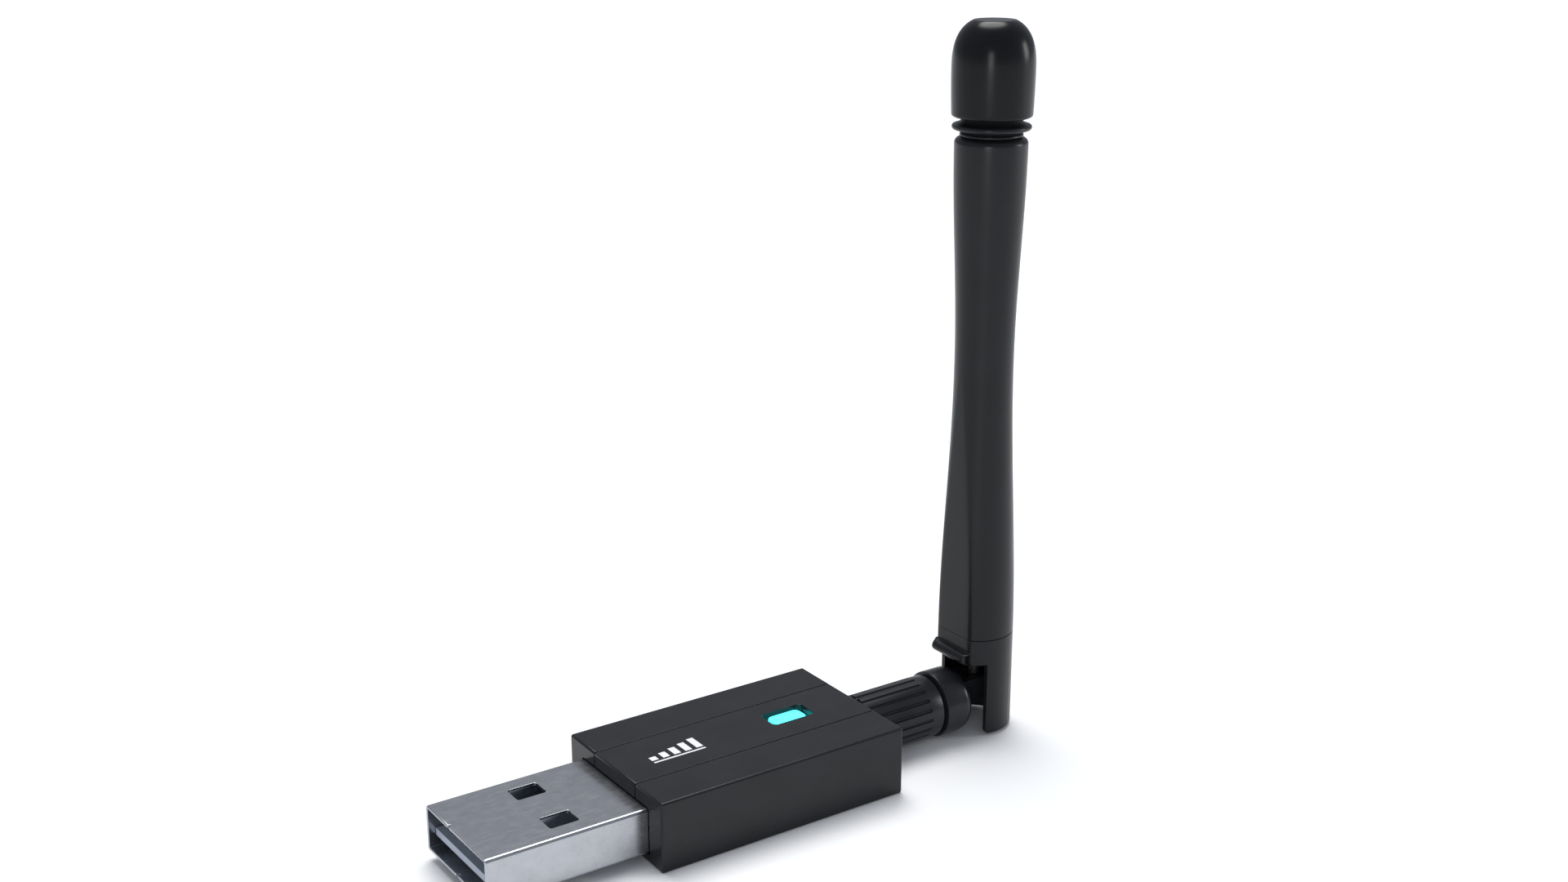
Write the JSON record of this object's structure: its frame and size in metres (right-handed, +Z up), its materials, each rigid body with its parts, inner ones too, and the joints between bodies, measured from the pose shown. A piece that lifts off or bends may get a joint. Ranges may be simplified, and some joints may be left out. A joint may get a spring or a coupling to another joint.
{
  "type": "usb wifi adapter",
  "caption": "Slim network adapter: a flat dark body with a USB-A plug at one end and a whip antenna that swivels and tilts at the other.",
  "frame": {"origin": "on the resting surface, at the centre of the body's underside", "axes": "+X from the USB plug towards the antenna, +Z up out of the body's top, antenna upright at rest"},
  "size_m": [0.0621, 0.0166, 0.0713],
  "materials": {
    "body_plastic": "satin moulded charcoal plastic with fine scuffs",
    "strip_plastic": "satin charcoal inlay strip",
    "light_pipe": "clear cyan light pipe",
    "plug_steel": "satin nickel-plated steel sheet",
    "insulator_plastic": "pale blue-grey moulded insulator",
    "contact_gold": "gold-plated contact metal",
    "board_laminate": "green solder-masked laminate",
    "chip_resin": "black moulded chip resin",
    "can_steel": "bright steel",
    "ferrite": "dark ferrite",
    "capacitor_ceramic": "tan ceramic with tinned ends",
    "led_resin": "clear LED resin",
    "antenna_plastic": "semi-gloss black moulded plastic",
    "antenna_rubber": "semi-gloss black elastomer",
    "coax_jacket": "black coax jacket",
    "ring_rubber": "red-brown friction ring",
    "pin_steel": "blackened steel",
    "copper_wire": "bare copper wire",
    "white_plastic": "white low-loss plastic"
  },
  "bodies": {
    "adapter": {"upper_housing": "body_plastic", "base_plate": "body_plastic", "centre_strip": "strip_plastic", "light_pipe": "light_pipe", "usb_shell": "plug_steel", "usb_insulator": "insulator_plastic", "usb_contacts": "contact_gold", "circuit_board": "board_laminate", "wifi_chip": "chip_resin", "crystal": "can_steel", "voltage_regulator": "chip_resin", "power_inductor": "ferrite", "capacitors": "capacitor_ceramic", "resistors": "chip_resin", "status_led": "led_resin", "antenna_barrel": "antenna_plastic", "coax_pigtail": "coax_jacket"},
    "swivel": {"swivel_collar": "antenna_plastic", "friction_ring": "ring_rubber", "retaining_clip": "can_steel", "coax_swivel": "coax_jacket"},
    "mast": {"fork": "antenna_plastic", "hinge_pins": "pin_steel", "mast_sleeve": "antenna_rubber", "neck_ring": "antenna_rubber", "tip_cap": "antenna_rubber", "coax_mast": "coax_jacket", "ground_sleeve": "contact_gold", "radiator_rod": "copper_wire", "centring_disc": "white_plastic"}
  },
  "joints": [
    {"name": "antenna_swivel", "type": "hinge", "parent": "adapter", "child": "swivel", "pos_m": [0.023, 0, 0.00343], "axis": [1, 0, 0], "range_deg": [-90, 90]},
    {"name": "antenna_tilt", "type": "hinge", "parent": "swivel", "child": "mast", "pos_m": [0.0302, 0, 0.0036], "axis": [0, 1, 0], "range_deg": [0, 90]}
  ]
}
